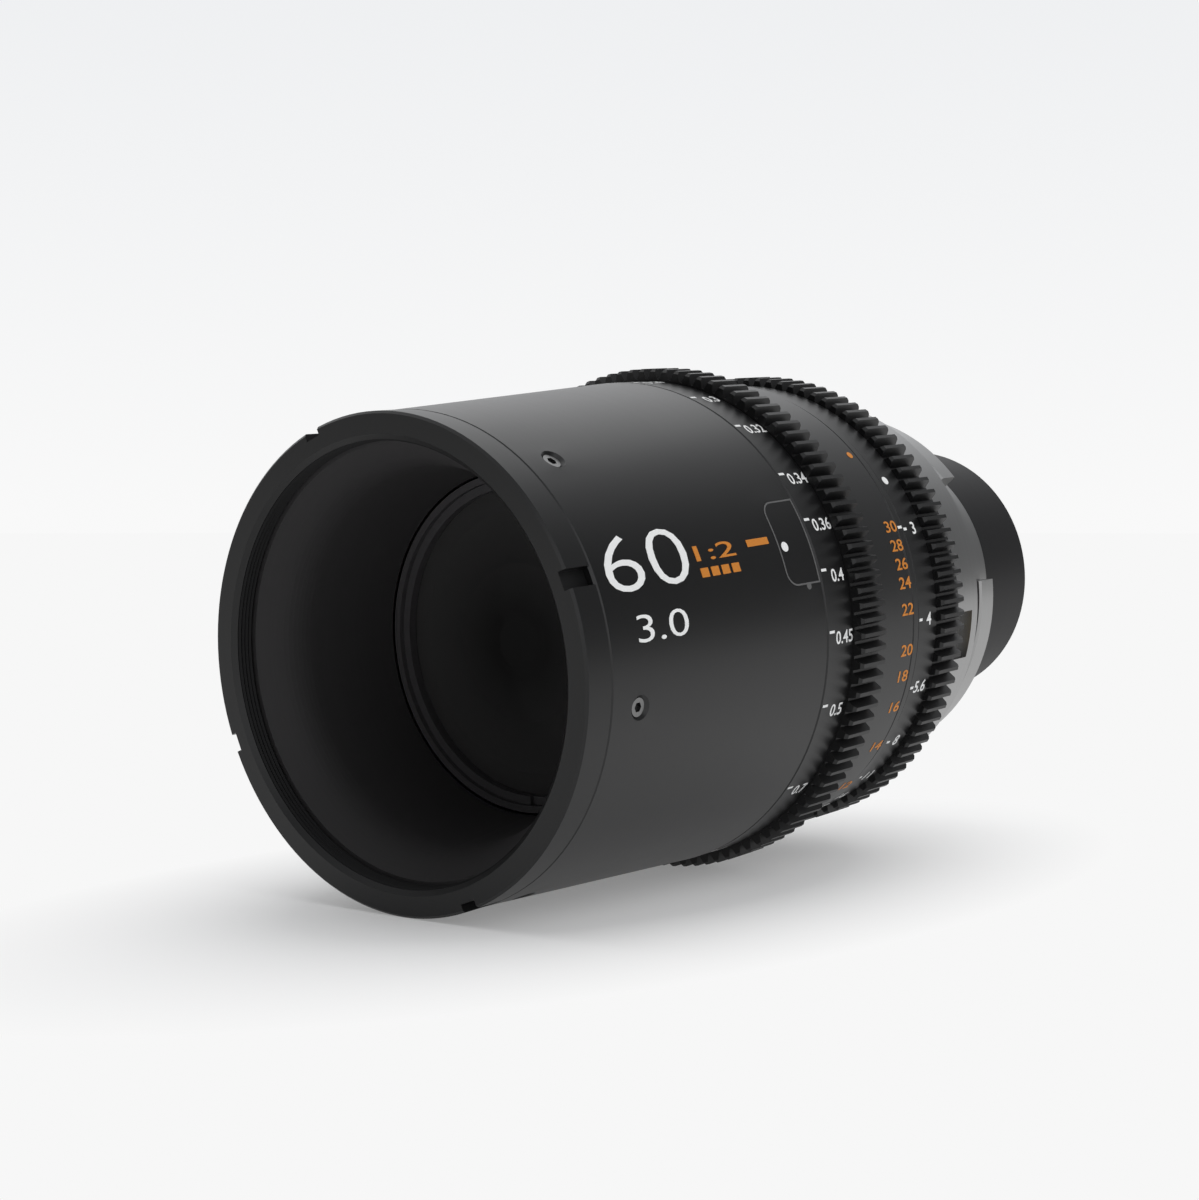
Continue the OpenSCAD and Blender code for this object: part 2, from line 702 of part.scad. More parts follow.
module actuator_clip() {
    clip_wall = 2.4;
    clip_in_r = rear_cell_r - clip_depth + fit;
    clip_gap = 3;
    color("#9a9ca0") on_axis() difference() {
        tube(clip_in_r + clip_wall, clip_in_r, z_clip + fit, clip_t);
        radial_bar(0, 2 * rear_cell_r, clip_gap, z_clip, clip_t + 1);
    }
}

module iris_actuator() {
    z_finger = z_actuator + actuator_t;
    color("#8a7434") on_axis() {
        tube(finger_r, rear_cell_r + run, z_actuator, actuator_t);
        from_index(finger_angle)
            radial_bar(finger_in_r, finger_r - 0.1, finger_w, z_finger - eps, finger_len + eps);
    }
}

module iris_ring() {
    color("#18181a") on_axis() difference() {
        turned([[iris_land_r, z_iris], [iris_r - ring_edge, z_iris], [iris_r, z_iris + ring_edge],
            [iris_r, z_iris_gear], [iris_seat_r, z_iris_gear], [iris_seat_r, z_iris_end],
            [iris_land_r, z_iris_end]]);
        from_index(finger_angle) radial_bar(iris_land_r - 1, iris_land_r + fork_root + fit,
            fork_w + 2 * fit, z_fork - fit, fork_t + 2 * fit);
    }
}

module iris_gear() {
    color("#1b1b1d") on_axis()
        gear_ring(iris_teeth, iris_pitch_r, iris_seat_r + fit, z_iris_gear, iris_gear_w);
}

module iris_fork() {
    color("#8a7434") on_axis() from_index(finger_angle) difference() {
        radial_bar(fork_in_r, iris_land_r + fork_root - 0.1, fork_w, z_fork, fork_t);
        radial_bar(fork_in_r - 1, finger_r + free, finger_w + 2 * free, z_fork - eps, fork_t + 2 * eps);
    }
}

module rear_barrel() {
    bevel = 0.8;
    color("#18181a") on_axis() difference() {
        turned([[main_r + fit, z_rear], [iris_spigot_in_r, z_rear],
            [iris_spigot_in_r, z_rear - iris_land_len],
            [iris_spigot_r, z_rear - iris_land_len], [iris_spigot_r, z_rear],
            [rear_r - ring_edge, z_rear], [rear_r, z_rear + ring_edge],
            [rear_r, z_rear_end - bevel], [rear_r - bevel, z_rear_end], [main_r + fit, z_rear_end]]);
        mount_screw_places() translate([0, 0, z_rear_end - mount_screw_bite - 0.2])
            cylinder(r = mount_screw_r + fit, h = mount_screw_bite + 1, $fn = 32);
    }
}

module mount_screw_places() {
    for (i = [0 : mount_screw_count - 1]) from_index(i * 360 / mount_screw_count)
        translate([mount_screw_circle, 0, 0]) children();
}

module mount_shim() {
    color("#b59a4c") on_axis() difference() {
        tube(base_r - edge, main_r + fit, z_rear_end, shim_t);
        mount_screw_places() translate([0, 0, z_rear_end - eps])
            cylinder(r = mount_screw_r + fit, h = shim_t + 2 * eps, $fn = 32);
    }
}

module camera_mount() {
    wing_outline = [[neck_r - 1, z_wing], [wing_r - edge, z_wing], [wing_r, z_wing + edge],
        [wing_r, z_seat - edge], [wing_r - edge, z_seat], [neck_r - 1, z_seat]];
    color("#b4b6b8") on_axis() difference() {
        union() {
            turned([[main_r + fit, z_mount], [base_r - edge, z_mount], [base_r, z_mount + edge],
                [base_r, z_neck - edge], [base_r - edge, z_neck], [neck_r, z_neck], [neck_r, z_seat],
                [spigot_r, z_seat], [spigot_r, z_spigot_end - edge], [spigot_r - edge, z_spigot_end],
                [rear_bore_r, z_spigot_end], [rear_bore_r, z_recess_end], [recess_r, z_recess_end],
                [recess_r, z_main_end + free], [main_r + fit, z_main_end + free]]);
            for (i = [0 : wing_count - 1]) from_index((i + 0.5) * 360 / wing_count - wing_span / 2)
                rotate_extrude(angle = wing_span) polygon(wing_outline);
        }
        from_index(key_angle) radial_bar(base_r - key_depth, base_r + 1, key_w, z_mount - 1, key_len + 1);
        mount_screw_places() {
            translate([0, 0, z_mount - eps])
                cylinder(r = mount_screw_r + fit, h = mount_base_len, $fn = 32);
            translate([0, 0, z_neck - mount_head_t])
                cylinder(r = mount_head_r + fit, h = mount_head_t + 1, $fn = 32);
        }
    }
}

module mount_screws() {
    shank = mount_base_len - mount_head_t + shim_t + mount_screw_bite;
    color("#8f9194") on_axis() mount_screw_places() difference() {
        union() {
            translate([0, 0, z_neck - mount_head_t])
                cylinder(r = mount_head_r, h = mount_head_t - 0.1, $fn = 32);
            translate([0, 0, z_neck - mount_head_t - shank])
                cylinder(r = mount_screw_r, h = shank + eps, $fn = 32);
        }
        translate([0, 0, z_neck - mount_socket_depth])
            cylinder(r = mount_head_r * socket_share, h = mount_socket_depth, $fn = 6);
    }
}

module rear_tube() {
    color("#19191b") on_axis() turned([
        [rear_seat_r, z_recess_end - rear_flange_t], [rear_flange_r, z_recess_end - rear_flange_t],
        [rear_flange_r, z_recess_end], [rear_tube_r, z_recess_end], [rear_tube_r, z_rim - edge],
        [rear_tube_r - edge, z_rim], [rear_glass_r + edge, z_rim], [rear_glass_r + fit, z_rim - edge],
        [rear_glass_r + fit, z_rear_seat], [rear_seat_r, z_rear_seat]]);
}

module rear_glass() {
    color("#3a4a6a", 0.5) on_axis() translate([0, 0, 2 * z_rear_seat]) mirror([0, 0, 1])
        convex_glass(rear_glass_r, rear_glass_edge, rear_glass_curve, z_rear_seat);
}

module rear_retainer() {
    in_r = rear_glass_r - ring_w;
    z_glass = z_rear_seat + rear_glass_edge + sag(rear_glass_curve, rear_glass_r);
    z_touch = z_glass - sag(rear_glass_curve, in_r) + fit;
    color("#161618") on_axis() translate([0, 0, 2 * z_touch + ring_t]) mirror([0, 0, 1])
        slotted_ring(rear_glass_r, in_r, z_touch, ring_t);
}

front_ring();
front_hood();
front_barrel();
index_plate();
set_screws();
main_tube();
index_ring();
rear_barrel();
mount_shim();
camera_mount();
mount_screws();
rear_tube();
rear_glass();
rear_retainer();
focus_ring();
focus_gear();
helicoid_nut();
drive_pins();
lens_carriage();
front_glass();
front_retainer();
second_glass();
second_retainer();
iris_pins();
rear_cell();
third_glass();
third_retainer();
actuator_clip();
iris_ring();
iris_gear();
iris_fork();
iris_actuator();
iris_blade(0);  // iris_blade_1
iris_blade(1);  // iris_blade_2
iris_blade(2);  // iris_blade_3
iris_blade(3);  // iris_blade_4
iris_blade(4);  // iris_blade_5
iris_blade(5);  // iris_blade_6
iris_blade(6);  // iris_blade_7
iris_blade(7);  // iris_blade_8
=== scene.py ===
import math

import bmesh
import bpy
from mathutils import Matrix, Vector


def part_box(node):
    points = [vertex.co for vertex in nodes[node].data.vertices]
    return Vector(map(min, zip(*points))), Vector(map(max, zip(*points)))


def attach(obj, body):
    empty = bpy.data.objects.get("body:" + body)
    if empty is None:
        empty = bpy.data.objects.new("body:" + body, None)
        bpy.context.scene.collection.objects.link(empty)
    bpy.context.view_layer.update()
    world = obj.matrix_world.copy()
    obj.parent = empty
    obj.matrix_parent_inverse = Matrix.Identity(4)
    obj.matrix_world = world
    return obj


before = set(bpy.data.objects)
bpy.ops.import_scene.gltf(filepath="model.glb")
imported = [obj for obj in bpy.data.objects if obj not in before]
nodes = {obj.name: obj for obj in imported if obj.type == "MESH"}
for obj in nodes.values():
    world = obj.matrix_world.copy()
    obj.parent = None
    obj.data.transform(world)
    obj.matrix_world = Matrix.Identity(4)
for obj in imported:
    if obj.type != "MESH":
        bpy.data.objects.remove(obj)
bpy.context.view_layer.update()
print("frame loaded:", len(nodes), "nodes")


class Wire:
    # a socket that takes part in sums
    def __init__(self, tree, socket):
        self.tree = tree
        self.socket = socket

    def join(self, operation, first, second=None):
        values = {0: first} if second is None else {0: first, 1: second}
        return addNode(self.tree, "ShaderNodeMath", {"operation": operation}, values)

    def __add__(self, other):
        return self.join("ADD", self, other)

    def __radd__(self, other):
        return self.join("ADD", other, self)

    def __sub__(self, other):
        return self.join("SUBTRACT", self, other)

    def __rsub__(self, other):
        return self.join("SUBTRACT", other, self)

    def __mul__(self, other):
        return self.join("MULTIPLY", self, other)

    def __rmul__(self, other):
        return self.join("MULTIPLY", other, self)

    def __truediv__(self, other):
        return self.join("DIVIDE", self, other)

    def root(self):
        return self.join("SQRT", self)

    def clamped(self):
        return self.join("MINIMUM", self.join("MAXIMUM", self, 0.0), 1.0)

    def between(self, start, end):
        # 0 at the start and 1 at the end
        return ((self - start) / (end - start)).clamped()


def addNode(tree, kind, settings, values, output=0):
    # one node: settings first, then inputs; several outputs give a list of wires
    node = tree.nodes.new(kind)
    for key, value in settings.items():
        setattr(node, key, value)
    for key, value in values.items():
        if isinstance(value, Wire):
            tree.links.new(value.socket, node.inputs[key])
        else:
            node.inputs[key].default_value = value
    if not node.outputs:
        return None
    if isinstance(output, tuple):
        return [Wire(tree, node.outputs[key]) for key in output]
    return Wire(tree, node.outputs[output])


def grey(value):
    return (value, value, value, 1.0)


def colour(red, green, blue):
    return (red, green, blue, 1.0)


def newTree(name):
    material = bpy.data.materials.new(name)
    material.use_nodes = True
    material.node_tree.nodes.clear()
    return material, material.node_tree


def closeTree(tree, shader):
    addNode(tree, "ShaderNodeOutputMaterial", {}, {"Surface": shader})


def objectPlace(tree):
    return addNode(tree, "ShaderNodeTexCoord", {}, {}, "Object")


def lathePlaces(tree):
    # the place itself, its radius round the optical axis and its distance along it
    place = objectPlace(tree)
    x, y, z = addNode(tree, "ShaderNodeSeparateXYZ", {}, {0: place}, (0, 1, 2))
    return place, (x * x + z * z).root(), y


noiseDetail = {"fine": 3.0, "soft": 2.0}


def grainNoise(tree, place, perMetre, detail="fine"):
    values = {"Vector": place, "Scale": perMetre, "Detail": noiseDetail[detail]}
    return addNode(tree, "ShaderNodeTexNoise", {}, values, "Fac")


def latheNoise(tree, radius, along, perMetre):
    # rings cut by a turning tool
    vector = addNode(tree, "ShaderNodeCombineXYZ", {}, {0: radius * perMetre, 1: along * perMetre, 2: 0.0})
    return grainNoise(tree, vector, 1.0, "soft")


def mixColours(tree, factor, first, second):
    return addNode(tree, "ShaderNodeMix", {"data_type": "RGBA"}, {0: factor, 6: first, 7: second}, 2)


def bumpFrom(tree, height, strength, distance):
    return addNode(tree, "ShaderNodeBump", {}, {"Strength": strength, "Distance": distance, "Height": height})


def dotWith(tree, vector, axis):
    return addNode(tree, "ShaderNodeVectorMath", {"operation": "DOT_PRODUCT"}, {0: vector, 1: axis}, 1)


# one entry for each finish that a lathe leaves on this lens
turnedFinishes = {
    "rimBlack": {"dark": colour(0.0040, 0.0040, 0.0043), "light": colour(0.0066, 0.0066, 0.0070),
                 "rough": (0.36, 0.46), "metal": 0.0, "specular": 0.38, "rings": 2600.0, "grain": 9000.0,
                 "bump": 0.10},
    "satinBlack": {"dark": colour(0.0040, 0.0040, 0.0043), "light": colour(0.0066, 0.0066, 0.0070),
                   "rough": (0.34, 0.44), "metal": 0.0, "specular": 0.48, "rings": 2600.0, "grain": 9000.0,
                   "bump": 0.10},
    "gearBlack": {"dark": colour(0.0034, 0.0034, 0.0037), "light": colour(0.0056, 0.0056, 0.0060),
                  "rough": (0.36, 0.48), "metal": 0.0, "specular": 0.42, "rings": 2200.0, "grain": 8000.0,
                  "bump": 0.08},
    "mattBlack": {"dark": colour(0.037, 0.0355, 0.0363), "light": colour(0.054, 0.0518, 0.0531),
                  "rough": (0.50, 0.62), "metal": 0.0, "specular": 0.22, "rings": 1800.0, "grain": 6000.0,
                  "bump": 0.16},
    "innerBlack": {"dark": colour(0.055, 0.0529, 0.055), "light": colour(0.080, 0.0770, 0.080),
                   "rough": (0.56, 0.68), "metal": 0.0, "specular": 0.2, "rings": 1800.0, "grain": 6000.0,
                   "bump": 0.16},
    "rearBlack": {"dark": colour(0.0040, 0.0038, 0.0044), "light": colour(0.0066, 0.0062, 0.0072),
                  "rough": (0.44, 0.54), "metal": 0.0, "specular": 0.26, "rings": 2600.0, "grain": 9000.0,
                  "bump": 0.10},
    "threadBlack": {"dark": colour(0.0080, 0.0080, 0.0084), "light": colour(0.0120, 0.0120, 0.0125),
                    "rough": (0.44, 0.56), "metal": 0.0, "specular": 0.14, "rings": 2600.0, "grain": 9000.0,
                    "bump": 0.06},
    "turnedSteel": {"dark": grey(0.29), "light": grey(0.38), "rough": (0.26, 0.36), "metal": 1.0,
                    "specular": 0.5, "rings": 3200.0, "grain": 7000.0, "bump": 0.10},
    "plainScrew": {"dark": grey(0.15), "light": grey(0.24), "rough": (0.24, 0.36), "metal": 1.0,
                   "specular": 0.5, "rings": 2400.0, "grain": 5200.0, "bump": 0.08},
    "groundSteel": {"dark": grey(0.48), "light": grey(0.58), "rough": (0.18, 0.28), "metal": 1.0,
                    "specular": 0.5, "rings": 4200.0, "grain": 7000.0, "bump": 0.05},
    "turnedBrass": {"dark": colour(0.50, 0.36, 0.14), "light": colour(0.62, 0.47, 0.21),
                    "rough": (0.24, 0.36), "metal": 1.0, "specular": 0.5, "rings": 3000.0, "grain": 6000.0,
                    "bump": 0.08},
    "bareAluminium": {"dark": grey(0.52), "light": grey(0.62), "rough": (0.28, 0.38), "metal": 1.0,
                      "specular": 0.5, "rings": 3000.0, "grain": 6000.0, "bump": 0.08},
    "bladeBlack": {"dark": colour(0.0040, 0.0040, 0.0042), "light": colour(0.0085, 0.0085, 0.0090),
                   "rough": (0.42, 0.56), "metal": 0.0, "specular": 0.3, "rings": 2600.0, "grain": 7000.0,
                   "bump": 0.06},
}
# how rings, grain and cloud share the tone, and how rings and grain share the bump
latheGrain = {"cloud": 60.0, "toneShares": (0.45, 0.35, 0.2), "bumpShares": (0.6, 0.4), "depth": 0.00003}


def turnedFinish(name):
    look = turnedFinishes[name]
    material, tree = newTree(name)
    place, radius, along = lathePlaces(tree)
    rings = latheNoise(tree, radius, along, look["rings"])
    grain = grainNoise(tree, place, look["grain"])
    cloud = grainNoise(tree, place, latheGrain["cloud"], "soft")
    ringShare, grainShare, cloudShare = latheGrain["toneShares"]
    tone = (rings * ringShare + grain * grainShare + cloud * cloudShare).clamped()
    ringBump, grainBump = latheGrain["bumpShares"]
    height = rings * ringBump + grain * grainBump
    low, high = look["rough"]
    shader = addNode(tree, "ShaderNodeBsdfPrincipled", {}, {
        "Base Color": mixColours(tree, tone, look["dark"], look["light"]),
        "Metallic": look["metal"],
        "Roughness": tone * (high - low) + low,
        "Specular IOR Level": look["specular"],
        "Normal": bumpFrom(tree, height, look["bump"], latheGrain["depth"]),
    })
    closeTree(tree, shader)
    return material


# the colour grows outwards, from the start radius to the end radius: on the coated glasses it is a coating
# tint, on the dark front glass it is painted shade, darker in the middle and lighter towards the rim
glassLooks = {
    "coatedGlass": {"dark": colour(0.016, 0.016, 0.020), "light": colour(0.020, 0.016, 0.024), "start": 0.0,
                    "end": 0.028, "alpha": (0.36, 0.44), "rough": 0.03, "specular": 0.3},
    # painted shade: the dark front glass is about three times darker in the middle than at its rim
    "darkGlass": {"dark": colour(0.019, 0.0186, 0.0186), "light": colour(0.058, 0.0563, 0.0563),
                  "start": 0.006, "end": 0.0235, "alpha": (0.95, 0.97), "rough": 0.02, "specular": 0.01},
}
glassDust = {"perMetre": 900.0, "rough": 0.02}
glassIndex = 1.5


def coatedGlass(name):
    # a coated lens: weak reflections, and a little dust; the dark front glass carries painted shade, darker
    # in the middle and lighter towards the rim
    look = glassLooks[name]
    material, tree = newTree(name)
    place, radius, _ = lathePlaces(tree)
    # a coating tint on the coated glasses, painted shade on the dark front glass
    coatingTintAndPaintedShade = radius.between(look["start"], look["end"])
    dust = grainNoise(tree, place, glassDust["perMetre"])
    low, high = look["alpha"]
    shader = addNode(tree, "ShaderNodeBsdfPrincipled", {}, {
        "Base Color": mixColours(tree, coatingTintAndPaintedShade, look["dark"], look["light"]),
        "Roughness": dust * glassDust["rough"] + look["rough"],
        "Alpha": coatingTintAndPaintedShade * (high - low) + low,
        "Specular IOR Level": look["specular"],
        "IOR": glassIndex,
    })
    closeTree(tree, shader)
    return material


paintLooks = {
    "whitePaint": {"dark": colour(0.80, 0.81, 0.81), "light": colour(0.92, 0.92, 0.91),
                   "rough": (0.42, 0.55)},
    "orangePaint": {"dark": colour(0.55, 0.180, 0.016), "light": colour(0.67, 0.245, 0.028),
                    "rough": (0.42, 0.55)},
    "greyPaint": {"dark": grey(0.09), "light": grey(0.14), "rough": (0.45, 0.60)},
}
paintGrain = {"patches": 2600.0, "specks": 9000.0, "shares": (0.6, 0.4), "specular": 0.3, "bump": 0.12,
              "depth": 0.00002}


def markPaint(name):
    # paint rubbed into engraved marks, a little uneven
    look = paintLooks[name]
    material, tree = newTree(name)
    place = objectPlace(tree)
    patches = grainNoise(tree, place, paintGrain["patches"])
    specks = grainNoise(tree, place, paintGrain["specks"])
    patchShare, speckShare = paintGrain["shares"]
    tone = (patches * patchShare + specks * speckShare).clamped()
    low, high = look["rough"]
    shader = addNode(tree, "ShaderNodeBsdfPrincipled", {}, {
        "Base Color": mixColours(tree, tone, look["dark"], look["light"]),
        "Roughness": tone * (high - low) + low,
        "Specular IOR Level": paintGrain["specular"],
        "Normal": bumpFrom(tree, specks, paintGrain["bump"], paintGrain["depth"]),
    })
    closeTree(tree, shader)
    return material


finishes = {name: turnedFinish(name) for name in turnedFinishes}
for name in glassLooks:
    finishes[name] = coatedGlass(name)
for name in paintLooks:
    finishes[name] = markPaint(name)

nodeFinishes = {
    "rimBlack": ["front_ring"],
    "satinBlack": ["front_barrel", "index_plate", "index_ring", "rear_barrel", "focus_ring", "iris_ring"],
    "rearBlack": ["rear_tube"],
    "gearBlack": ["focus_gear", "iris_gear"],
    "mattBlack": ["front_hood"],
    "innerBlack": ["lens_carriage", "front_retainer", "second_retainer", "rear_cell", "third_retainer",
                   "rear_retainer"],
    "turnedSteel": ["camera_mount"],
    "plainScrew": ["set_screws", "mount_screws"],
    "groundSteel": ["drive_pins", "iris_pins", "actuator_clip"],
    "turnedBrass": ["mount_shim", "helicoid_nut", "iris_fork", "iris_actuator"],
    "bareAluminium": ["main_tube"],
    "darkGlass": ["front_glass"],
    "coatedGlass": ["second_glass", "third_glass", "rear_glass"],
    "bladeBlack": [member for member in nodes if member.startswith("iris_blade_")],
}
for name, members in nodeFinishes.items():
    for member in members:
        nodes[member].data.materials.clear()
        nodes[member].data.materials.append(finishes[name])
print("finishes:", len(finishes))

frontLow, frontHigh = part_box("front_ring")
barrelLow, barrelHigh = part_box("front_barrel")
frontY = frontLow.y
barrelStart = barrelLow.y - frontY
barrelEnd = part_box("index_plate")[1].y - frontY


def onBarrel(station):
    # the barrel widens evenly from its front edge to its rear edge
    share = (station - barrelStart) / (barrelEnd - barrelStart)
    return frontHigh.x + (barrelHigh.x - frontHigh.x) * share


def onRing(node, step=0.0):
    # a ring keeps one radius, a step below its widest part
    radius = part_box(node)[1].x - step
    return lambda station: radius


# how marks lie on the lens, in metres, and how finely they are cut
markShape = {"lift": 0.00004, "sink": 0.00008, "thick": 0.0001, "cut": 0.001, "weld": 1e-7, "dotSides": 24}
numberShape = {"curveSteps": 4, "thick": 0.05, "weld": 0.0005}  # before a number is scaled


def wrap(bm, radiusAt, station, angle):
    # lays flat work round the lens: x runs to the rear, y climbs towards the top
    bmesh.ops.transform(bm, matrix=Matrix.Translation((station, 0.0, 0.0)), verts=bm.verts)
    base = radiusAt(station)
    for vert in bm.verts:
        x, y, z = vert.co
        radius = radiusAt(x) + (markShape["lift"] if z > 0.0 else -markShape["sink"])
        turn = math.radians(angle) - y / base
        vert.co = (radius * math.sin(turn), frontY + x, radius * math.cos(turn))


def cutAcross(bm, reach):
    # cuts across the height, so that flat work can follow the curve
    count = int(2.0 * reach / markShape["cut"])
    for i in range(1, count):
        everything = bm.verts[:] + bm.edges[:] + bm.faces[:]
        bmesh.ops.bisect_plane(bm, geom=everything, plane_co=(0.0, -reach + i * markShape["cut"], 0.0),
                               plane_no=(0.0, 1.0, 0.0), dist=markShape["weld"])


def appendTo(bm, other):
    carrier = bpy.data.meshes.new("carrier")
    other.to_mesh(carrier)
    other.free()
    bm.from_mesh(carrier)
    bpy.data.meshes.remove(carrier)


def addNumber(bm, radiusAt, words, station, angle, height, weight, length=None, stretch=1.0):
    holderCurve = bpy.data.curves.new("number", "FONT")
    holderCurve.body = words
    holderCurve.resolution_u = numberShape["curveSteps"]
    holderCurve.extrude = numberShape["thick"]
    holderCurve.offset = weight
    holder = bpy.data.objects.new("number", holderCurve)
    bpy.context.scene.collection.objects.link(holder)
    bpy.context.view_layer.update()
    shown = holder.evaluated_get(bpy.context.evaluated_depsgraph_get())
    carrier = bpy.data.meshes.new_from_object(shown)
    bpy.data.objects.remove(holder)
    bpy.data.curves.remove(holderCurve)
    flat = bmesh.new()
    flat.from_mesh(carrier)
    bpy.data.meshes.remove(carrier)
    bmesh.ops.remove_doubles(flat, verts=flat.verts, dist=numberShape["weld"])
    xs = [vert.co.x for vert in flat.verts]
    ys = [vert.co.y for vert in flat.verts]
    centre = Vector(((min(xs) + max(xs)) / 2, (min(ys) + max(ys)) / 2, 0.0))
    scaleY = height / (max(ys) - min(ys))
    scaleX = length / (max(xs) - min(xs)) if length else scaleY * stretch
    bmesh.ops.translate(flat, vec=-centre, verts=flat.verts)
    bmesh.ops.scale(flat, vec=(scaleX, scaleY, scaleY), verts=flat.verts)
    cutAcross(flat, height / 2)
    wrap(flat, radiusAt, station, angle)
    appendTo(bm, flat)


def addBar(bm, radiusAt, station, angle, length, width):
    flat = bmesh.new()
    bmesh.ops.create_cube(flat, size=1.0)
    bmesh.ops.scale(flat, vec=(length, width, markShape["thick"]), verts=flat.verts)
    cutAcross(flat, width / 2)
    wrap(flat, radiusAt, station, angle)
    appendTo(bm, flat)


def addDot(bm, radiusAt, station, angle, radius):
    flat = bmesh.new()
    bmesh.ops.create_cone(flat, cap_ends=True, segments=markShape["dotSides"], radius1=radius, radius2=radius,
                          depth=markShape["thick"])
    wrap(flat, radiusAt, station, angle)
    appendTo(bm, flat)


def makePiece(name, bm, finish, body):
    bmesh.ops.remove_doubles(bm, verts=bm.verts, dist=markShape["weld"])
    bmesh.ops.recalc_face_normals(bm, faces=bm.faces)
    mesh = bpy.data.meshes.new(name)
    bm.to_mesh(mesh)
    bm.free()
    for face in mesh.polygons:
        face.use_smooth = False
    piece = bpy.data.objects.new(name, mesh)
    bpy.context.scene.collection.objects.link(piece)
    mesh.materials.append(finishes[finish])
    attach(piece, body)


# marks on the barrel; places are metres behind the front face and degrees from the top
barrelMarks = {
    "large": {"words": "60", "station": 0.0183, "angle": 68.6, "height": 0.0091, "length": 0.0196,
              "weight": -0.012},
    "small": {"words": "3.0", "station": 0.0185, "angle": 83.2, "height": 0.0042, "length": 0.0120,
              "weight": -0.006},
    "ratio": {"words": "1:2", "station": 0.0349, "angle": 69.2, "height": 0.0026, "length": 0.0100,
              "weight": 0.004},
    "rowStations": (0.0310, 0.0336, 0.0362, 0.0388),
    "rowBar": {"angle": 73.6, "length": 0.0019, "width": 0.0015},
    "pointer": {"station": 0.0461, "angle": 68.8, "length": 0.0056, "width": 0.0012},
    "dot": {"station": 0.0526, "angle": 70.9, "radius": 0.00085},
    "greyDot": {"station": 0.0562, "angle": 80.4, "radius": 0.0006},
}

bm = bmesh.new()
addNumber(bm, onBarrel, **barrelMarks["large"])
addNumber(bm, onBarrel, **barrelMarks["small"])
addDot(bm, onBarrel, **barrelMarks["dot"])
makePiece("barrel_numbers", bm, "whitePaint", "lens_body")

bm = bmesh.new()
addNumber(bm, onBarrel, **barrelMarks["ratio"])
for station in barrelMarks["rowStations"]:
    addBar(bm, onBarrel, station, **barrelMarks["rowBar"])
addBar(bm, onBarrel, **barrelMarks["pointer"])
makePiece("barrel_ratio", bm, "orangePaint", "lens_body")

# thin line round the index plate
plateLine = {"front": 0.0509, "rear": 0.0594, "half": 0.0074, "corner": 0.0026, "cornerSteps": 8,
             "line": 0.0003, "angle": 70.0}

bm = bmesh.new()
plateLength = plateLine["rear"] - plateLine["front"]
plateMiddle = (plateLine["front"] + plateLine["rear"]) / 2
bmesh.ops.create_grid(bm, x_segments=1, y_segments=1, size=0.5)
bmesh.ops.scale(bm, vec=(plateLength, 2 * plateLine["half"], 1.0), verts=bm.verts)
frontCorners = [vert for vert in bm.verts if vert.co.x < 0.0]
bmesh.ops.bevel(bm, geom=frontCorners, offset=plateLine["corner"], offset_type="OFFSET", affect="VERTICES",
                segments=plateLine["cornerSteps"], profile=0.5, material=-1)
bmesh.ops.inset_region(bm, faces=bm.faces[:], thickness=plateLine["line"], use_boundary=True,
                       use_even_offset=True)
inside = max(bm.faces, key=lambda face: face.calc_area())
bmesh.ops.delete(bm, geom=[inside], context="FACES_ONLY")
rim = bmesh.ops.extrude_face_region(bm, geom=bm.faces[:])
raised = [part for part in rim["geom"] if isinstance(part, bmesh.types.BMVert)]
bmesh.ops.translate(bm, vec=(0.0, 0.0, markShape["thick"]), verts=raised)
cutAcross(bm, plateLine["half"])
wrap(bm, onBarrel, plateMiddle, plateLine["angle"])
addDot(bm, onBarrel, **barrelMarks["greyDot"])
makePiece("plate_line", bm, "greyPaint", "lens_body")
print("barrel marks done")

# scales on the turning rings
focusScale = {
    "numbers": (("0.25", -80), ("0.26", -58), ("0.27", -36), ("0.28", -12), ("0.29", 8), ("0.3", 25),
                ("0.32", 39), ("0.34", 55), ("0.36", 67), ("0.4", 79), ("0.45", 93), ("0.5", 110),
                ("0.7", 132), ("1", 160), ("2", 190)),
    "station": 0.0648, "height": 0.0022, "stretch": 1.0, "weight": 0.010,
    "tick": {"station": 0.0611, "length": 0.0015, "width": 0.00045}, "tickShift": -1.5,
}
orangeScale = {
    "numbers": (("30", 69.6), ("28", 74.4), ("26", 79.0), ("24", 83.6), ("22", 90.0), ("20", 100.0),
                ("18", 106.5), ("16", 114.6), ("14", 126.0), ("12", 140.0), ("10", 158.0)),
    "station": 0.0869, "step": 0.00105, "height": 0.0021, "stretch": 1.35, "weight": 0.012,
    "dot": {"station": 0.0869, "angle": 49.0, "radius": 0.0007},
}
irisScale = {
    "numbers": (("3", 70.5), ("4", 93.5), ("5.6", 111.0), ("8", 127.0), ("11", 140.0), ("16", 150.0),
                ("22", 157.0)),
    "station": 0.0950, "height": 0.0023, "stretch": 1.0, "weight": 0.012,
    "tick": {"station": 0.0923, "length": 0.0010, "width": 0.0005}, "tickShift": 0.0,
    "dot": {"station": 0.0934, "angle": 57.0, "radius": 0.0008},
}
indexMark = {"station": 0.0901, "angle": 70.0, "length": 0.0013, "width": 0.0005}


def makeScale(name, scale, radiusAt, paint, body):
    bm = bmesh.new()
    for words, angle in scale["numbers"]:
        addNumber(bm, radiusAt, words, scale["station"], angle, scale["height"], scale["weight"],
                  stretch=scale["stretch"])
        if "tick" in scale:
            addBar(bm, radiusAt, angle=angle + scale["tickShift"], **scale["tick"])
    if "dot" in scale:
        addDot(bm, radiusAt, **scale["dot"])
    makePiece(name, bm, paint, body)


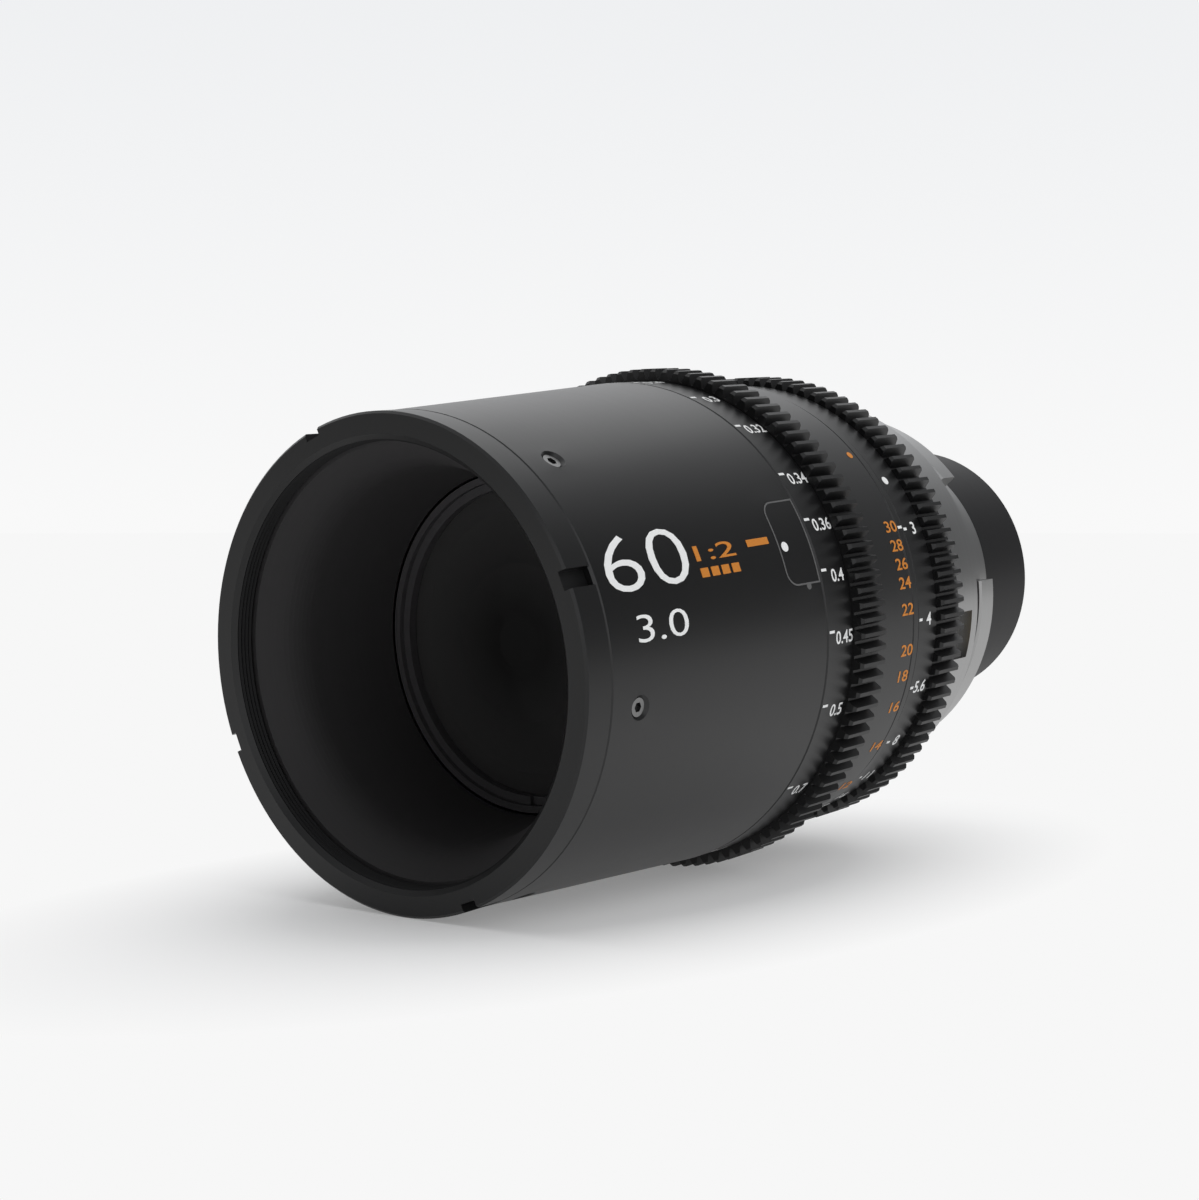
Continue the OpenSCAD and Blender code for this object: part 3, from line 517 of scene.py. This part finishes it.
makeScale("focus_scale", focusScale, onRing("focus_ring"), "whitePaint", "focus")
makeScale("ratio_scale", orangeScale, onRing("focus_ring", orangeScale["step"]), "orangePaint", "focus")
makeScale("iris_scale", irisScale, onRing("iris_ring"), "whitePaint", "iris")

bm = bmesh.new()
addBar(bm, onRing("index_ring"), **indexMark)
makePiece("index_line", bm, "whitePaint", "lens_body")
print("scales done")

# ridges of the filter thread, turned round the optical axis
filterThread = {"wall": 0.03565, "crest": 0.03530, "root": 0.03560, "start": 0.0009, "pitch": 0.00075,
                "ridges": 4, "rootAt": 0.00006, "crestAt": 0.000375, "runOut": 0.000045, "steps": 128}

bm = bmesh.new()
threadEnd = filterThread["start"] + filterThread["pitch"] * filterThread["ridges"]
outline = [(filterThread["wall"], threadEnd), (filterThread["wall"], filterThread["start"])]
for i in range(filterThread["ridges"]):
    station = filterThread["start"] + i * filterThread["pitch"]
    outline.append((filterThread["root"], station + filterThread["rootAt"]))
    outline.append((filterThread["crest"], station + filterThread["crestAt"]))
outline.append((filterThread["root"], threadEnd - filterThread["runOut"]))
profile = [bm.verts.new((radius, frontY + station, 0.0)) for radius, station in outline]
edges = [bm.edges.new((profile[i], profile[(i + 1) % len(profile)])) for i in range(len(profile))]
bmesh.ops.spin(bm, geom=profile + edges, cent=(0.0, 0.0, 0.0), axis=(0.0, 1.0, 0.0),
               angle=2 * math.pi, steps=filterThread["steps"], use_merge=True)
makePiece("filter_ridges", bm, "threadBlack", "lens_body")
print("filter thread done")

# camera
view = {
    "right": Vector((0.7771, 0.6261, -0.0643)),
    "up": Vector((0.0, 0.1021, 0.9948)),
    "place": Vector((0.25038, -0.38540, 0.03663)),
    "lens": 68.49, "sensor": 36.0, "near": 0.01,
}
right = view["right"].normalized()
up = (view["up"] - right * view["up"].dot(right)).normalized()
back = right.cross(up)
cameraData = bpy.data.cameras.new("camera")
cameraData.lens = view["lens"]
cameraData.sensor_width = view["sensor"]
cameraData.clip_start = view["near"]
camera = bpy.data.objects.new("camera", cameraData)
bpy.context.scene.collection.objects.link(camera)
camera.matrix_world = Matrix.Translation(view["place"]) @ Matrix((right, up, back)).transposed().to_4x4()
bpy.context.scene.camera = camera

# floor that carries the front ring and the focus gear; round the lens it keeps its shadow, and from
# near to far it turns to plain white
floorLook = {"slope": 0.0716, "radius": 6.0, "sides": 64, "touchStation": 0.0004, "touchRadius": 0.0400,
             "dark": grey(0.895), "light": grey(0.905), "speckle": 400.0, "rough": 0.7, "specular": 0.1,
             "glow": grey(0.93), "own": 0.245, "near": 0.032, "far": 0.070, "middle": -0.085, "shrink": 0.5}
tiltY = floorLook["slope"]
tiltX = (-right.y * tiltY - right.z) / right.x
floorUp = Vector((tiltX, tiltY, 1.0)).normalized()
lowest = -Vector((floorUp.x, 0.0, floorUp.z)).normalized() * floorLook["touchRadius"]
touch = Vector((0.0, frontY + floorLook["touchStation"], 0.0)) + lowest
bm = bmesh.new()
bmesh.ops.create_circle(bm, cap_ends=True, segments=floorLook["sides"], radius=floorLook["radius"])
turn = Vector((0.0, 0.0, 1.0)).rotation_difference(floorUp).to_matrix().to_4x4()
bmesh.ops.transform(bm, matrix=Matrix.Translation(touch) @ turn, verts=bm.verts)
floorMesh = bpy.data.meshes.new("floor")
bm.to_mesh(floorMesh)
bm.free()
floor = bpy.data.objects.new("floor", floorMesh)
bpy.context.scene.collection.objects.link(floor)


def rayKinds(tree):
    kinds = ("Is Camera Ray", "Is Glossy Ray", "Is Transmission Ray")
    return addNode(tree, "ShaderNodeLightPath", {}, {}, kinds)


material, tree = newTree("floorWhite")
place = objectPlace(tree)
x, y = addNode(tree, "ShaderNodeSeparateXYZ", {}, {0: place}, (0, 1))
lengthwise = (y - floorLook["middle"]) * floorLook["shrink"]
distance = (x * x + lengthwise * lengthwise).root()
away = distance.between(floorLook["near"], floorLook["far"])
speckle = grainNoise(tree, place, floorLook["speckle"])
matt = addNode(tree, "ShaderNodeBsdfPrincipled", {}, {
    "Base Color": mixColours(tree, speckle, floorLook["dark"], floorLook["light"]),
    "Roughness": floorLook["rough"], "Specular IOR Level": floorLook["specular"]})
glow = addNode(tree, "ShaderNodeEmission", {}, {"Color": floorLook["glow"], "Strength": 1.0})
cameraRay, glossyRay, throughRay = rayKinds(tree)
own = away * (1.0 - floorLook["own"]) + floorLook["own"]
closeTree(tree, addNode(tree, "ShaderNodeMixShader", {}, {
    0: own * (cameraRay + glossyRay + throughRay).clamped(), 1: matt, 2: glow}))
floorMesh.materials.append(material)

# soft studio: a white sweep behind the lens and overhead, and an unlit room behind the camera
studio = {
    "horizon": grey(0.945), "top": colour(0.86, 0.87, 0.885), "rise": 0.22, "ambient": 0.97,
    "room": 0.92, "spread": 0.1, "roomFrom": 0.66, "roomTo": 0.30, "roomLow": 0.60, "roomHigh": 0.92,
    "patch": Vector((0.70, -0.60, 0.39)), "patchFrom": 0.84, "patchTo": 0.93, "patchGain": 0.5,
    "front": (0.0, -1.0, 0.0), "frontFrom": 0.10, "frontTo": 0.60, "frontDark": 0.85,
}
world = bpy.data.worlds.new("studio")
bpy.context.scene.world = world
world.use_nodes = True
tree = world.node_tree
tree.nodes.clear()
direction = addNode(tree, "ShaderNodeTexCoord", {}, {}, "Generated")
height = dotWith(tree, direction, floorUp)
ahead = dotWith(tree, direction, -back)
nearPatch = dotWith(tree, direction, studio["patch"].normalized())
patch = nearPatch.between(studio["patchFrom"], studio["patchTo"])
front = dotWith(tree, direction, studio["front"]).between(studio["frontFrom"], studio["frontTo"])
under = 1.0 - height.between(studio["roomLow"], studio["roomHigh"])
room = ahead.between(studio["roomFrom"], studio["roomTo"]) * under * (1.0 - patch)
cameraRay, glossyRay, throughRay = rayKinds(tree)
seen = (cameraRay + glossyRay + throughRay).clamped()
ambient = seen * (1.0 - studio["ambient"]) + studio["ambient"]
inGloss = glossyRay * (1.0 - studio["spread"]) + studio["spread"]
unlit = inGloss * (1.0 - cameraRay) * room * studio["room"]  # dark in reflections, weak in soft light
shade = front * (1.0 - seen) * studio["frontDark"]  # little soft light falls into the mouth
gain = glossyRay * patch * studio["patchGain"] + 1.0  # a window that only reflections show
background = addNode(tree, "ShaderNodeBackground", {}, {
    "Color": mixColours(tree, height.between(0.0, studio["rise"]), studio["horizon"], studio["top"]),
    "Strength": ambient * (1.0 - unlit) * (1.0 - shade) * gain})
addNode(tree, "ShaderNodeOutputWorld", {}, {"Surface": background})

# round soft lamps that look at the lens; the fill is left out of reflections
lamps = {
    "key": {"power": 4.5, "size": 1.8, "place": Vector((-0.55, 0.35, 1.0)), "inGloss": True},
    "fill": {"power": 2.6, "size": 0.9, "place": Vector((0.85, 0.15, 0.60)), "inGloss": False},
}
aim = Vector((0.0, -0.07, 0.0))
for name, look in lamps.items():
    lampData = bpy.data.lights.new(name, "AREA")
    lampData.shape = "DISK"
    lampData.size = look["size"]
    lampData.energy = look["power"]
    lamp = bpy.data.objects.new(name, lampData)
    bpy.context.scene.collection.objects.link(lamp)
    lamp.location = look["place"]
    lamp.rotation_euler = (aim - look["place"]).to_track_quat("-Z", "Y").to_euler()
    lamp.visible_glossy = look["inGloss"]

bpy.context.scene.view_settings.view_transform = "Standard"
print("stage, light and camera done")
